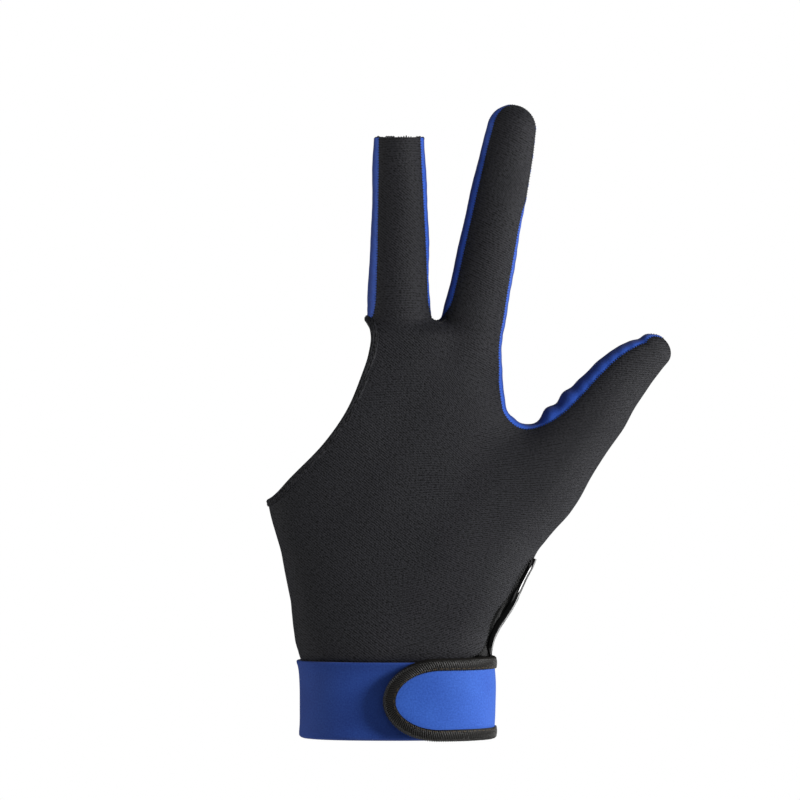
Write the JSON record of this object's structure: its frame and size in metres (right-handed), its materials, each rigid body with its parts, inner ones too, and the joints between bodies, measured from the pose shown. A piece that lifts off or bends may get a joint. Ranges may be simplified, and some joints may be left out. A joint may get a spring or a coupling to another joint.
{
  "type": "billiard glove",
  "caption": "Left-hand billiard glove in its worn form: closed index finger and thumb, open middle finger, cut-away outer side, blue side strips and a blue wrist band with a rounded tab.",
  "frame": {"origin": "centre of the wrist opening, at the bottom edge of the band", "axes": "+Z from the wrist to the fingers, +X to the thumb, -Y is the back of the hand"},
  "size_m": [0.1287, 0.0449, 0.2031],
  "materials": {
    "black_knit": "matt fine ribbed stretch knit",
    "blue_knit": "smooth stretch knit",
    "coated_leather": "glossy coated leather",
    "blue_neoprene": "knit-faced foam rubber, matt",
    "black_ribbon": "ribbed woven binding",
    "black_hooks": "hook fastener pad"
  },
  "bodies": {
    "root": {"back_panel": "black_knit", "palm_panel": "black_knit", "opening_hem": "black_knit", "middle_outer_fourchette": "blue_knit", "middle_index_fourchette": "blue_knit", "index_thumb_gusset": "blue_knit", "slit_facing": "coated_leather", "cuff_band": "blue_neoprene", "tab_binding": "black_ribbon", "hook_patch": "black_hooks"}
  },
  "joints": []
}
